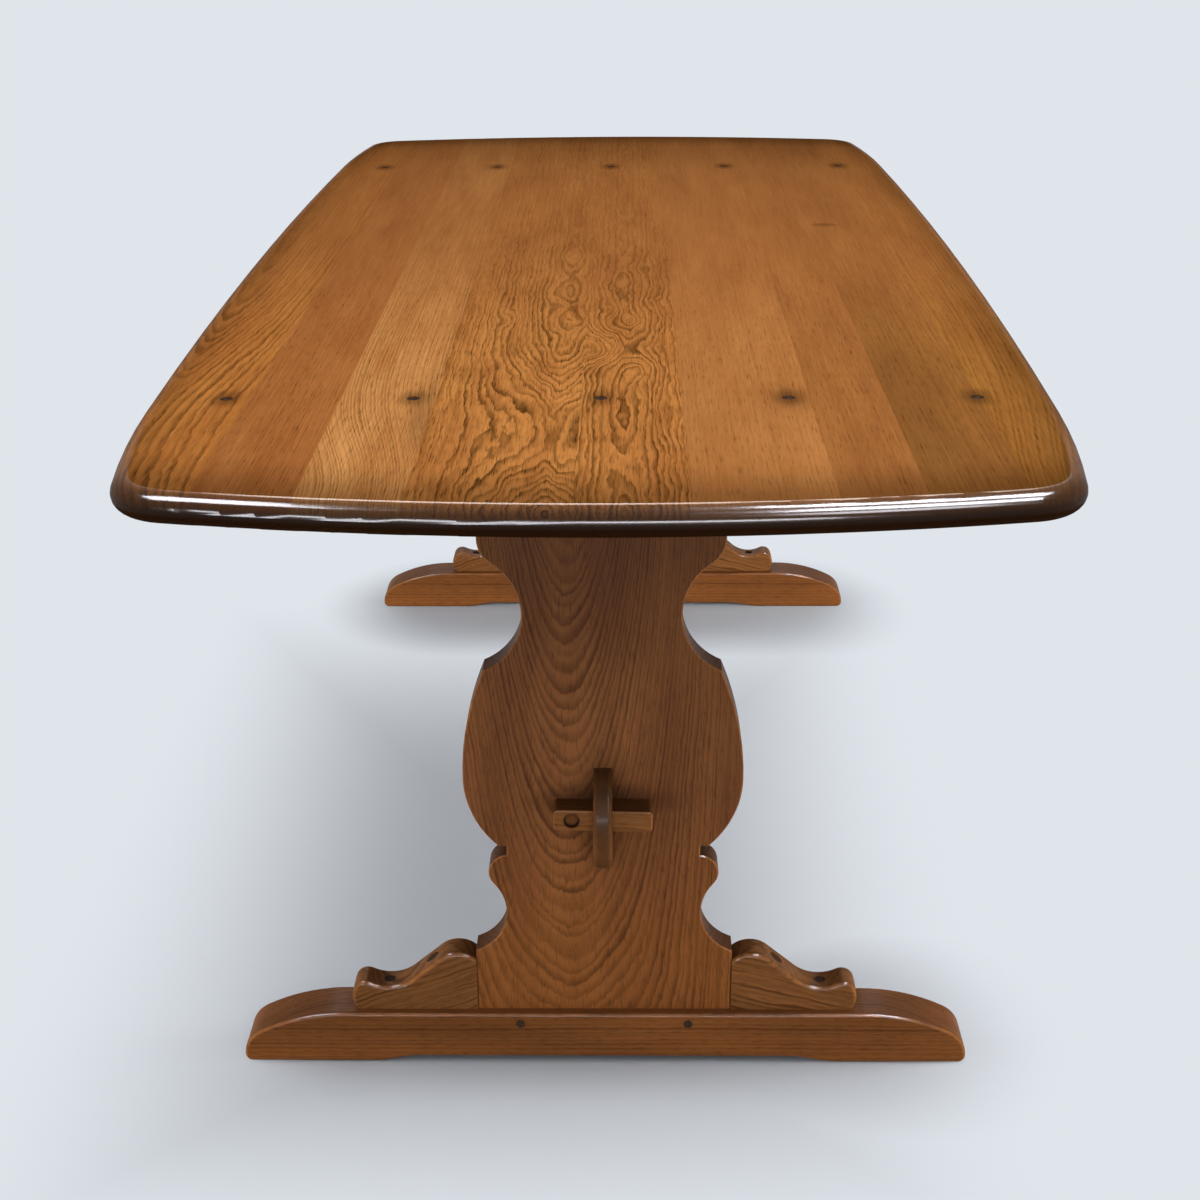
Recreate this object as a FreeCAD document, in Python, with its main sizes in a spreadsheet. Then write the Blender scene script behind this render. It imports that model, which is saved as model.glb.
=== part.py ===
# Refectory table: a boat-shaped top of nine boards on two trestles, tied by a keyed stretcher.
# Millimetres. The origin is on the floor under the middle of the top, X across, Y along, Z up.
# The trestle at -Y is the near one. The far trestle is the same one turned half round.
import FreeCAD, Part

import math
import os

import Sketcher

SIZES = {
    # Overall
    "table_height": 720.0,
    "top_length": 1840.0,
    "top_width": 859.0,
    "top_thickness": 28.0,
    "top_overhang": 301.0,
    # Plan outline of the top: flat bowed sides, tighter shoulders, round corners, bowed ends
    "side_bow_radius": 18000.0,
    "shoulder_run": 274.0,
    "shoulder_radius": 1645.0,
    "corner_radius": 58.0,
    "end_bow_radius": 1840.0,
    # The rim of the top is half round but for a narrow flat at the middle of its thickness
    "rim_flat": 0.4,
    # Boards from left to right, ripped in these proportions to fill the width of the top. The insets
    # of the bearers and of their plugs keep the same proportions, so each plug stays over its board
    "board_1_width": 104.5,
    "board_2_width": 85.0,
    "board_3_width": 87.0,
    "board_4_width": 135.0,
    "board_5_width": 92.0,
    "board_6_width": 118.0,
    "board_7_width": 71.0,
    "board_8_width": 84.0,
    "board_9_width": 82.5,
    "board_tongue_length": 8.0,
    "board_tongue_thickness": 8.0,
    "board_tongue_stop": 90.0,
    # Wooden plugs and the screws under them
    "plug_diameter": 12.7,
    "plug_sink": 0.7,
    "plug_end_inset": 25.0,
    "top_plug_depth": 9.0,
    "screw_diameter": 4.8,
    "screw_head_diameter": 9.5,
    "screw_head_height": 3.0,
    "screw_tip_length": 6.0,
    "top_screw_bite": 22.0,
    "bracket_screw_bite": 25.0,
    # Sledge foot
    "foot_length": 760.0,
    "foot_width": 52.0,
    "foot_height": 60.0,
    "foot_nose_length": 108.0,
    "foot_nose_radius": 34.0,
    "foot_toe_radius": 8.0,
    "foot_pad_length": 133.0,
    "foot_arch_run": 56.0,
    "foot_arch_height": 6.5,
    "foot_edge_radius": 4.0,
    # Slab end. Widths are across the whole slab. Levels above the foot and radii are those of a
    # pattern that is stretched from its own height to the height between foot and bearer
    "slab_thickness": 30.0,
    "slab_edge_bevel": 1.4,
    "slab_pattern_height": 584.0,
    "base_width": 265.0,
    "base_height": 71.0,
    "lower_neck_width": 199.0,
    "lower_cove_radius": 49.5,
    "bead_width": 233.6,
    "bead_radius": 20.5,
    "notch_width": 196.0,
    "notch_height": 194.5,
    "vase_width": 279.4,
    "vase_height": 272.0,
    "vase_lower_radius": 106.0,
    "vase_upper_radius": 306.0,
    "shoulder_height": 389.5,
    "neck_width": 155.0,
    "neck_cove_radius": 64.0,
    "head_width": 237.0,
    "head_radius": 30.0,
    # Tenons of the slab, in the foot below and the bearer above, and their pegs
    "tenon_thickness": 14.0,
    "foot_tenon_width": 226.0,
    "foot_tenon_depth": 40.0,
    "bearer_tenon_width": 206.0,
    "bearer_tenon_depth": 22.0,
    "mortise_spare": 1.0,
    "peg_diameter": 9.5,
    "peg_spacing": 175.0,
    "peg_inset": 12.0,
    "peg_length": 44.0,
    # Bearer under the top
    "bearer_inset": 58.5,
    "bearer_width": 52.0,
    "bearer_height": 48.0,
    "bearer_end_radius": 20.0,
    # Ogee bracket. Lengths are from the slab's edge, heights above the foot
    "bracket_thickness": 33.0,
    "bracket_edge_radius": 5.0,
    "crown_reach": 20.0,
    "crown_height": 68.0,
    "crown_radius": 28.0,
    "dish_reach": 93.0,
    "dish_height": 27.0,
    "dish_radius": 40.0,
    "nose_reach": 131.5,
    "nose_height": 13.5,
    "nose_radius": 30.0,
    "nose_tip_radius": 13.0,
    "slope_plug_reach": 47.0,
    "slope_screw_seat": 30.0,
    "dish_screw_seat": 13.0,
    # Stretcher and its round-ended tongues. Its level is on the slab pattern, at the middle
    "stretcher_thickness": 25.0,
    "stretcher_height": 126.0,
    "stretcher_level": 228.0,
    "tongue_thickness": 19.0,
    "tongue_height": 112.0,
    "tongue_reach": 43.0,
    "tongue_root": 30.0,
    "tongue_edge_radius": 5.0,
    # Cross key, tapered along its length, and the peg in its face
    "key_length": 98.5,
    "key_height": 23.0,
    "key_narrow": 24.0,
    "key_wide": 28.0,
    "key_rise": 10.0,
    "key_corner_radius": 4.5,
    "key_edge_radius": 2.0,
    "key_draw": 2.0,
    "key_peg_reach": 31.0,
    "key_peg_diameter": 12.4,
    "key_peg_dome": 2.0,
    "key_peg_sink": 1.2,
    "key_peg_cover": 3.0,
    "key_recess_diameter": 15.4,
    "key_recess_depth": 3.0,
    # Fits
    "glue_gap": 0.1,
    "running_gap": 0.3,
    "cut_margin": 12.0,
}

BOARD_COUNT = 9
PLUGS_EACH_SIDE = 2
ENDS = (("near", -1), ("far", 1))
HALF_TURN = 180.0
QUARTER_TURN = 90.0
ACROSS = FreeCAD.Vector(1, 0, 0)
UPWARD = FreeCAD.Vector(0, 0, 1)
ANTICLOCKWISE = 1
CLOCKWISE = -1
SAME_PLACE = 1e-6

doc = FreeCAD.newDocument("refectory_table")
sheet = doc.addObject("Spreadsheet::Sheet", "sizes")
for row, (alias, number) in enumerate(SIZES.items(), start=1):
    sheet.set(f"A{row}", alias)
    sheet.set(f"B{row}", str(number))
    sheet.setAlias(f"B{row}", alias)
doc.recompute()


class Measure:
    """A length that carries its number and the sheet formula that drives it."""

    def __init__(self, value, formula):
        self.value = value
        self.formula = formula

    def __add__(self, other):
        return Measure(self.value + plain(other), f"({self.formula} + {formula_of(other)})")

    def __sub__(self, other):
        return Measure(self.value - plain(other), f"({self.formula} - {formula_of(other)})")

    def __mul__(self, other):
        return Measure(self.value * plain(other), f"({self.formula} * {formula_of(other)})")

    def __truediv__(self, other):
        return Measure(self.value / plain(other), f"({self.formula} / {formula_of(other)})")

    def __neg__(self):
        return Measure(-self.value, f"(0 - {self.formula})")


def plain(length):
    return length.value if isinstance(length, Measure) else float(length)


def formula_of(length):
    return length.formula if isinstance(length, Measure) else str(length)


def size(alias):
    return Measure(float(sheet.get(alias)), f"sizes.{alias}")


def bind(item, name, length):
    item.setExpression(name, formula_of(length))


def place(item, x=0, y=0, z=0, turn=0.0, axis=UPWARD):
    """Turn an object about one axis through its own origin and put that origin at a bound place."""
    item.Placement = FreeCAD.Placement(FreeCAD.Vector(), FreeCAD.Rotation(axis, turn))
    for letter, length in (("x", x), ("y", y), ("z", z)):
        bind(item, f".Placement.Base.{letter}", length)


def origin_plane(body, role):
    return next(feature for feature in body.Origin.OriginFeatures if feature.Role == role)


class Outline:
    """A closed run of lines and arcs in one sketch.

    A coordinate given as a Measure is bound to the sheet, a whole 0 lies on the axis, and a plain
    float is a starting place that the bound sizes and the smooth joints settle.
    """

    def __init__(self, body, role, name, start, level=None):
        self.sketch = body.newObject("Sketcher::SketchObject", name)
        self.sketch.AttachmentSupport = [(origin_plane(body, role), "")]
        self.sketch.MapMode = "FlatFace"
        if level is not None:
            bind(self.sketch, "AttachmentOffset.Base.z", level)
        self.here = start
        self.runs = []

    def point(self, place_2d):
        return FreeCAD.Vector(plain(place_2d[0]), plain(place_2d[1]), 0)

    def tie(self, geometry, position, place_2d):
        for kind, axis, length in (("DistanceX", -2, place_2d[0]), ("DistanceY", -1, place_2d[1])):
            if isinstance(length, Measure):
                if length.value < 0:
                    rule = Sketcher.Constraint(kind, geometry, position, -1, 1, -length.value)
                    self.drive(rule, -length)
                else:
                    rule = Sketcher.Constraint(kind, -1, 1, geometry, position, length.value)
                    self.drive(rule, length)
            elif isinstance(length, int):
                self.sketch.addConstraint(Sketcher.Constraint("PointOnObject", geometry, position, axis))

    def drive(self, rule, length):
        index = self.sketch.addConstraint(rule)
        bind(self.sketch, f"Constraints[{index}]", length)

    def add(self, geometry, first, last, end, smooth):
        if self.runs:
            self.join(self.runs[-1], (geometry, first, last), smooth)
        self.runs.append((geometry, first, last))
        self.tie(geometry, last, end)
        self.here = end

    def join(self, before, after, smooth):
        kind = "Tangent" if smooth else "Coincident"
        self.sketch.addConstraint(Sketcher.Constraint(kind, before[0], before[2], after[0], after[1]))

    def line(self, end, smooth=False):
        geometry = self.sketch.addGeometry(Part.LineSegment(self.point(self.here), self.point(end)))
        self.add(geometry, 1, 2, end, smooth)

    def arc(self, centre, radius, end, turn, smooth=False):
        middle = self.point(centre)
        circle = Part.Circle(middle, UPWARD, plain(radius))
        ends = [self.point(self.here) - middle, self.point(end) - middle]
        angles = [math.atan2(ray.y, ray.x) for ray in ends][::turn]
        if angles[1] < angles[0]:
            angles[1] += 2 * math.pi
        geometry = self.sketch.addGeometry(Part.ArcOfCircle(circle, angles[0], angles[1]))
        first, last = (1, 2) if turn == ANTICLOCKWISE else (2, 1)
        self.add(geometry, first, last, end, smooth)
        self.tie(geometry, 3, centre)
        if isinstance(radius, Measure):
            self.drive(Sketcher.Constraint("Radius", geometry, radius.value), radius)

    def close(self, smooth=False):
        self.join(self.runs[-1], self.runs[0], smooth)


def rectangle(body, role, name, low, high):
    outline = Outline(body, role, name, low)
    outline.line((high[0], low[1]))
    outline.line(high)
    outline.line((low[0], high[1]))
    outline.line(low)
    outline.close()
    return outline


def new_body(name):
    return doc.addObject("PartDesign::Body", name)


def pad(body, outline, length, symmetric=True):
    feature = body.newObject("PartDesign::Pad", f"{body.Name}_pad")
    feature.Profile = outline.sketch
    feature.SideType = "Symmetric" if symmetric else "One side"
    bind(feature, "Length", length)
    body.Tip = feature
    doc.recompute()
    return feature


def mirror(body, features, role):
    feature = body.newObject("PartDesign::Mirrored", f"{body.Name}_mirror")
    feature.Originals = features
    feature.MirrorPlane = (origin_plane(body, role), [""])
    body.Tip = feature
    doc.recompute()
    return feature


def dress_edges(body, kind, amount, chosen):
    """Round or bevel the edges of the body's last feature that the test function chooses."""
    base = body.Tip
    names = [f"Edge{n}" for n, edge in enumerate(base.Shape.Edges, start=1) if chosen(edge.BoundBox)]
    feature = body.newObject(f"PartDesign::{kind}", f"{body.Name}_edges")
    feature.Base = (base, names)
    bind(feature, "Radius" if kind == "Fillet" else "Size", amount)
    body.Tip = feature
    doc.recompute()


def round_edges(body, radius, chosen):
    dress_edges(body, "Fillet", radius, chosen)


def bevel_edges(body, amount, chosen):
    dress_edges(body, "Chamfer", amount, chosen)


def box(name, low, high):
    item = doc.addObject("Part::Box", name)
    for side, start, end in zip(("Length", "Width", "Height"), low, high):
        bind(item, side, end - start)
    place(item, *low)
    return item


def rod(name, radius, length, base, sideways=False):
    """A round bar that stands up from its base, or points out of the trestle towards -Y."""
    item = doc.addObject("Part::Cylinder", name)
    bind(item, "Radius", radius)
    bind(item, "Height", length)
    if sideways:
        place(item, *base, turn=QUARTER_TURN, axis=ACROSS)
    else:
        place(item, *base)
    return item


def group(kind, name, pieces):
    item = doc.addObject(kind, name)
    if kind == "Part::MultiFuse":
        item.Shapes = pieces
    else:
        item.Links = pieces
    return item


def cut(name, base, tool):
    item = doc.addObject("Part::Cut", name)
    item.Base = base
    item.Tool = tool
    return item


nodes = []


def keep(item, label):
    item.Label = label
    nodes.append(item)
    return item


def meeting(first, first_reach, second, second_reach):
    """The place to the left of the line from first to second at the two given distances."""
    x1, y1 = first
    x2, y2 = second
    span = math.hypot(x2 - x1, y2 - y1)
    along = (first_reach ** 2 - second_reach ** 2 + span ** 2) / (2 * span)
    aside = math.sqrt(first_reach ** 2 - along ** 2)
    right, up = (x2 - x1) / span, (y2 - y1) / span
    return (x1 + along * right - aside * up, y1 + along * up + aside * right)


def beyond(start, through, distance):
    """The place at a distance from start, on the ray through another place."""
    span = math.hypot(through[0] - start[0], through[1] - start[1])
    share = distance / span
    return (start[0] + share * (through[0] - start[0]), start[1] + share * (through[1] - start[1]))


def board_edges():
    """The right edge of each board as it is ripped, from the left edge of the first."""
    edges = [size("board_1_width")]
    for index in range(2, BOARD_COUNT + 1):
        edges.append(edges[-1] + size(f"board_{index}_width"))
    return edges


foot_top = size("foot_height")
top_underside = size("table_height") - size("top_thickness")
bearer_underside = top_underside - size("bearer_height")
ripped_edges = board_edges()
ripped_width = ripped_edges[-1]
width_stretch = size("top_width") / ripped_width
bearer_half = (ripped_width / 2 - size("bearer_inset")) * width_stretch
slab_face = size("slab_thickness") / 2
slab_stretch = (bearer_underside - foot_top) / size("slab_pattern_height")
trestle_y = size("top_length") / 2 - size("top_overhang")
stretcher_middle = foot_top + size("stretcher_level") * slab_stretch
glue_gap = size("glue_gap")
running_gap = size("running_gap")
margin = size("cut_margin")
screw_hole_radius = size("screw_diameter") / 2 + glue_gap
plug_hole_radius = size("plug_diameter") / 2
peg_hole_radius = size("peg_diameter") / 2 + glue_gap


# Top

def top_blank():
    """The whole top as one rounded plank, its underside at Z 0."""
    half_width, half_length = size("top_width") / 2, size("top_length") / 2
    side, end = size("side_bow_radius"), size("end_bow_radius")
    shoulder, corner = size("shoulder_radius"), size("corner_radius")
    side_centre = (half_width - side, 0)
    end_centre = (0, half_length - end)
    start = half_length - size("shoulder_run")
    rise = math.asin(start.value / side.value)
    waist = (side_centre[0].value + side.value * math.cos(rise), start)
    inward = side.value - shoulder.value
    shoulder_centre = (side_centre[0].value + inward * math.cos(rise), inward * math.sin(rise))
    end_middle = (0.0, end_centre[1].value)
    corner_centre = meeting(shoulder_centre, shoulder.value - corner.value,
                            end_middle, end.value - corner.value)
    corner_start = beyond(shoulder_centre, corner_centre, shoulder.value)
    corner_end = beyond(end_middle, corner_centre, end.value)

    def at(spot, across, along):
        return (spot[0] * across, spot[1] * along)

    body = new_body("top_blank")
    outline = Outline(body, "XY_Plane", "top_outline", at(waist, 1, -1))

    def run(centre, radius, stop, smooth=True):
        outline.arc(centre, radius, stop, ANTICLOCKWISE, smooth)

    run(side_centre, side, waist, smooth=False)
    for half in (1, -1):
        out, back = (half, half), (-half, half)
        run(at(shoulder_centre, *out), shoulder, at(corner_start, *out))
        run(at(corner_centre, *out), corner, at(corner_end, *out))
        run(at(end_centre, *out), end, at(corner_end, *back))
        run(at(corner_centre, *back), corner, at(corner_start, *back))
        run(at(shoulder_centre, *back), shoulder, at(waist, *back))
        if half > 0:
            run(at(side_centre, -1, 1), side, at(waist, -1, -1))
    outline.close(smooth=True)
    thickness = size("top_thickness")
    pad(body, outline, thickness, symmetric=False)
    round_edges(body, (thickness - size("rim_flat")) / 2, lambda limits: limits.ZLength < SAME_PLACE)
    return body


def board_seams():
    """Where each board meets the next, from the middle of the top."""
    return [edge * width_stretch - size("top_width") / 2 for edge in ripped_edges[:-1]]


def board_strip(index, left, right):
    """The upright slice that one board keeps, with its tongue to the right and its groove to the left."""
    low_y = -(size("top_length") / 2 + margin)
    tongue_y = size("top_length") / 2 - size("board_tongue_stop")
    middle = size("top_thickness") / 2
    tongue_half = size("board_tongue_thickness") / 2
    strip = box(f"strip_{index}", (left, low_y, -margin), (right, -low_y, size("top_thickness") + margin))
    if index < BOARD_COUNT:
        tongue = box(f"tongue_{index}", (right - margin, -tongue_y, middle - tongue_half),
                     (right + size("board_tongue_length"), tongue_y, middle + tongue_half))
        strip = group("Part::MultiFuse", f"tongued_strip_{index}", [strip, tongue])
    if index > 1:
        spare = size("mortise_spare")
        groove = box(f"groove_{index}",
                     (left - margin, -(tongue_y + spare), middle - tongue_half),
                     (left + size("board_tongue_length") + spare, tongue_y + spare, middle + tongue_half))
        strip = cut(f"grooved_strip_{index}", strip, groove)
    return strip


def top_plug_places():
    """Where the plugs lie along a bearer: evenly spaced, the outer ones a little in from its ends."""
    pitch = (bearer_half - size("plug_end_inset") * width_stretch) / PLUGS_EACH_SIDE
    return [pitch * step for step in range(-PLUGS_EACH_SIDE, PLUGS_EACH_SIDE + 1)]


def top_holes():
    """Stepped holes for every top screw and plug, in the top's own frame."""
    plug_bore = size("top_plug_depth") + size("screw_head_height") + margin
    seat = size("top_thickness") + margin - plug_bore
    pieces = []
    for end, sign in ENDS:
        y = trestle_y * sign
        for step, x in enumerate(top_plug_places(), start=1):
            pieces.append(rod(f"{end}_plug_hole_{step}", plug_hole_radius, plug_bore, (x, y, seat)))
            pieces.append(rod(f"{end}_screw_hole_{step}", screw_hole_radius, seat + margin * 2,
                              (x, y, -margin)))
    return group("Part::MultiFuse", "top_holes", pieces)


def make_top():
    blank = top_blank()
    holes = top_holes()
    edge = size("top_width") / 2 + margin
    seams = [-edge] + board_seams() + [edge]
    for index, (left, right) in enumerate(zip(seams, seams[1:]), start=1):
        board = doc.addObject("Part::Common", f"board_{index}")
        board.Base = blank
        board.Tool = board_strip(index, left, right)
        drilled = keep(cut(f"drilled_board_{index}", board, holes), f"top_board_{index}")
        place(drilled, z=top_underside)


def screw(name, base, length):
    """A round-headed screw that points down. Its base is the underside of its head."""
    x, y, z = base
    radius = size("screw_diameter") / 2
    tip = size("screw_tip_length")
    head = rod(f"{name}_head", size("screw_head_diameter") / 2, size("screw_head_height"), base)
    shank = rod(f"{name}_shank", radius, length - tip, (x, y, z - length + tip))
    point = doc.addObject("Part::Cone", f"{name}_point")
    bind(point, "Radius1", radius / 4)
    bind(point, "Radius2", radius)
    bind(point, "Height", tip)
    place(point, x, y, z - length)
    return group("Part::MultiFuse", name, [head, shank, point])


def make_top_fixings():
    """Five screws and five plugs at each end, drawn under the middle of the top."""
    thickness = size("top_thickness")
    plug_base = thickness - size("top_plug_depth")
    seat = plug_base - size("screw_head_height")
    screws = []
    plugs = []
    for step, x in enumerate(top_plug_places(), start=1):
        screws.append(screw(f"top_screw_{step}", (x, 0, seat), seat + size("top_screw_bite")))
        plugs.append(rod(f"top_plug_{step}", plug_hole_radius - glue_gap,
                         size("top_plug_depth") - size("plug_sink"), (x, 0, plug_base)))
    for end, sign in ENDS:
        y = trestle_y * sign
        for name, pieces in (("top_screws", screws), ("top_plugs", plugs)):
            row_of = keep(group("Part::Compound", f"{end}_{name}", pieces), f"{end}_{name}")
            place(row_of, y=y, z=top_underside)


# Trestles. Each piece is drawn in the trestle's own frame, on the floor under the slab, outer side at -Y.

def put_in_trestle(item, label, sign):
    """Place a trestle piece at its end of the table, turned half round at the far end."""
    keep(item, label)
    place(item, y=trestle_y * sign, turn=HALF_TURN if sign > 0 else 0.0)


def peg_places(level):
    half = size("peg_spacing") / 2
    return [("left", -half, level), ("right", half, level)]


def pegs(name, level, width):
    """Two pegs across a tenon, flush with the outer cheek of the piece that holds it."""
    face = width / 2
    length = size("peg_length")
    radius = size("peg_diameter") / 2
    return [rod(f"{name}_{side}", radius, length, (x, length - face, z), sideways=True)
            for side, x, z in peg_places(level)]


def peg_holes(name, level, width):
    face = width / 2
    length = size("peg_length") + size("mortise_spare")
    return [rod(f"{name}_{side}", peg_hole_radius, length + margin, (x, length - face, z), sideways=True)
            for side, x, z in peg_places(level)]


foot_peg_level = foot_top - size("peg_inset")
bearer_peg_level = bearer_underside + size("peg_inset")


def bracket_plug_places():
    """Reach from the slab's edge and screw seat height above the foot of each bracket plug."""
    return [("slope", size("slope_plug_reach"), size("slope_screw_seat")),
            ("dish", size("dish_reach"), size("dish_screw_seat"))]


def make_feet():
    half, height, toe = size("foot_length") / 2, size("foot_height"), size("foot_toe_radius")
    nose = size("foot_nose_radius")
    arch, run = size("foot_arch_height"), size("foot_arch_run")
    pad_end = half - size("foot_pad_length")
    flat_end = half - size("foot_nose_length")
    ogee = (run * run + arch * arch) / (arch * 4)
    ogee_middle = (pad_end.value - run.value / 2, arch.value / 2)
    tip_centre = (half.value - nose.value, toe.value)
    over = tip_centre[0] - flat_end.value
    drop = height.value - toe.value
    brow = (over ** 2 + drop ** 2 - nose.value ** 2) / (2 * (drop - nose.value))
    brow_centre = (flat_end.value, height.value - brow)
    nose_end = beyond(brow_centre, tip_centre, brow)

    body = new_body("foot_blank")
    outline = Outline(body, "XZ_Plane", "foot_outline", (0, arch))
    outline.line((pad_end - run, arch))
    outline.arc((pad_end.value - run.value, arch.value - ogee.value), ogee, ogee_middle,
                CLOCKWISE, smooth=True)
    outline.arc((pad_end.value, ogee.value), ogee.value, (pad_end, 0), ANTICLOCKWISE, smooth=True)
    outline.line((half - toe, 0), smooth=True)
    outline.arc((half.value - toe.value, toe.value), toe, (half.value, toe), ANTICLOCKWISE, smooth=True)
    outline.arc(tip_centre, nose, nose_end, ANTICLOCKWISE, smooth=True)
    outline.arc(brow_centre, brow, (flat_end, height), ANTICLOCKWISE, smooth=True)
    outline.line((0, height), smooth=True)
    outline.line((0, arch))
    outline.close()
    width = size("foot_width")
    mirror(body, [pad(body, outline, width)], "YZ_Plane")
    face = width.value / 2
    round_edges(body, size("foot_edge_radius"),
                lambda limits: limits.YLength < SAME_PLACE and abs(abs(limits.YMin) - face) < SAME_PLACE)

    half_tenon = size("foot_tenon_width") / 2 + glue_gap
    half_cheek = size("tenon_thickness") / 2 + glue_gap
    depth = size("foot_tenon_depth") + size("mortise_spare")
    cuts = [box("foot_mortise", (-half_tenon, -half_cheek, height - depth),
                (half_tenon, half_cheek, height + margin))]
    cuts += peg_holes("foot_peg_hole", foot_peg_level, width)
    bite = size("bracket_screw_bite") + size("mortise_spare")
    for place_name, reach, seat in bracket_plug_places():
        for side, sign in (("left", -1), ("right", 1)):
            x = (size("base_width") / 2 + reach) * sign
            cuts.append(rod(f"foot_{place_name}_hole_{side}", screw_hole_radius, bite + margin,
                            (x, 0, height - bite)))
    tool = group("Part::MultiFuse", "foot_cuts", cuts)
    links = pegs("foot_peg", foot_peg_level, width)
    for end, sign in ENDS:
        put_in_trestle(cut(f"{end}_foot_cut", body, tool), f"{end}_foot", sign)
        pair = group("Part::Compound", f"{end}_foot_peg_pair", links)
        put_in_trestle(pair, f"{end}_foot_pegs", sign)


def on_slab(alias):
    """A length up the slab, stretched from the slab's pattern."""
    return size(alias) * slab_stretch


def make_slab_ends():
    base, base_top = size("base_width") / 2, foot_top + on_slab("base_height")
    cove, bead = on_slab("lower_cove_radius"), on_slab("bead_radius")
    lower, upper = on_slab("vase_lower_radius"), on_slab("vase_upper_radius")
    belly, belly_level = size("vase_width") / 2, foot_top + on_slab("vase_height")
    notch, notch_level = size("notch_width") / 2, foot_top + on_slab("notch_height")
    shoulder_level = foot_top + on_slab("shoulder_height")
    neck, head = on_slab("neck_cove_radius"), on_slab("head_radius")
    head_half = size("head_width") / 2

    cove_x = size("lower_neck_width") / 2 + cove
    cove_z = base_top.value + math.sqrt(cove.value ** 2 - (cove_x.value - base.value) ** 2)
    bead_x = size("bead_width") / 2 - bead
    bead_z = cove_z + math.sqrt((cove.value + bead.value) ** 2 - (cove_x.value - bead_x.value) ** 2)
    bead_start = beyond((cove_x.value, cove_z), (bead_x.value, bead_z), cove.value)
    bead_end = bead_z + math.sqrt(bead.value ** 2 - (notch.value - bead_x.value) ** 2)
    belly_drop = belly_level.value - notch_level.value
    vase_start = belly.value - lower.value + math.sqrt(lower.value ** 2 - belly_drop ** 2)
    belly_rise = shoulder_level.value - belly_level.value
    shoulder = belly.value - upper.value + math.sqrt(upper.value ** 2 - belly_rise ** 2)
    neck_x = size("neck_width") / 2 + neck
    neck_z = shoulder_level.value + math.sqrt(neck.value ** 2 - (neck_x.value - shoulder) ** 2)
    head_x = head_half.value - head.value
    head_z = neck_z + math.sqrt((neck.value + head.value) ** 2 - (neck_x.value - head_x) ** 2)
    head_start = beyond((neck_x.value, neck_z), (head_x, head_z), neck.value)

    body = new_body("slab_blank")
    outline = Outline(body, "XZ_Plane", "slab_outline", (0, foot_top))
    outline.line((base, foot_top))
    outline.line((base, base_top))
    outline.arc((cove_x, cove_z), cove, bead_start, CLOCKWISE)
    outline.arc((bead_x, bead_z), bead, (notch, bead_end), ANTICLOCKWISE, smooth=True)
    outline.line((notch, notch_level))
    outline.line((vase_start, notch_level))
    outline.arc((belly.value - lower.value, belly_level), lower, (belly, belly_level), ANTICLOCKWISE)
    outline.arc((belly.value - upper.value, belly_level), upper, (shoulder, shoulder_level), ANTICLOCKWISE)
    outline.arc((neck_x, neck_z), neck, head_start, CLOCKWISE)
    outline.arc((head_x, head_z), head, (head_half, head_z), ANTICLOCKWISE, smooth=True)
    outline.line((head_half, bearer_underside), smooth=True)
    outline.line((0, bearer_underside))
    outline.line((0, foot_top))
    outline.close()
    thickness = size("slab_thickness")
    mirror(body, [pad(body, outline, thickness)], "YZ_Plane")
    face = thickness.value / 2
    low, high = foot_top.value, bearer_underside.value

    def shaped_edge(limits):
        on_face = limits.YLength < SAME_PLACE and abs(abs(limits.YMin) - face) < SAME_PLACE
        joint_gap = min(abs(limits.ZMin - low), abs(limits.ZMin - high))
        at_joint = limits.ZLength < SAME_PLACE and joint_gap < SAME_PLACE
        return on_face and not at_joint

    bevel_edges(body, size("slab_edge_bevel"), shaped_edge)
    tenons = (("foot_tenon", foot_top - size("foot_tenon_depth"), foot_top),
              ("bearer_tenon", bearer_underside, bearer_underside + size("bearer_tenon_depth")))
    for name, bottom, top in tenons:
        half_tenon = size(f"{name}_width") / 2
        tenon = rectangle(body, "XZ_Plane", name, (-half_tenon, bottom), (half_tenon, top))
        pad(body, tenon, size("tenon_thickness"))

    half_tongue = size("tongue_thickness") / 2 + glue_gap
    tongue_low, tongue_high = tongue_levels()
    cuts = [box("tongue_mortise", (-half_tongue, -(slab_face + margin), tongue_low - glue_gap),
                (half_tongue, slab_face + margin, tongue_high + glue_gap))]
    cuts += peg_holes("slab_foot_peg_hole", foot_peg_level, size("foot_width"))
    cuts += peg_holes("slab_bearer_peg_hole", bearer_peg_level, size("bearer_width"))
    tool = group("Part::MultiFuse", "slab_cuts", cuts)
    for end, sign in ENDS:
        put_in_trestle(cut(f"{end}_slab_cut", body, tool), f"{end}_slab_end", sign)


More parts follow.
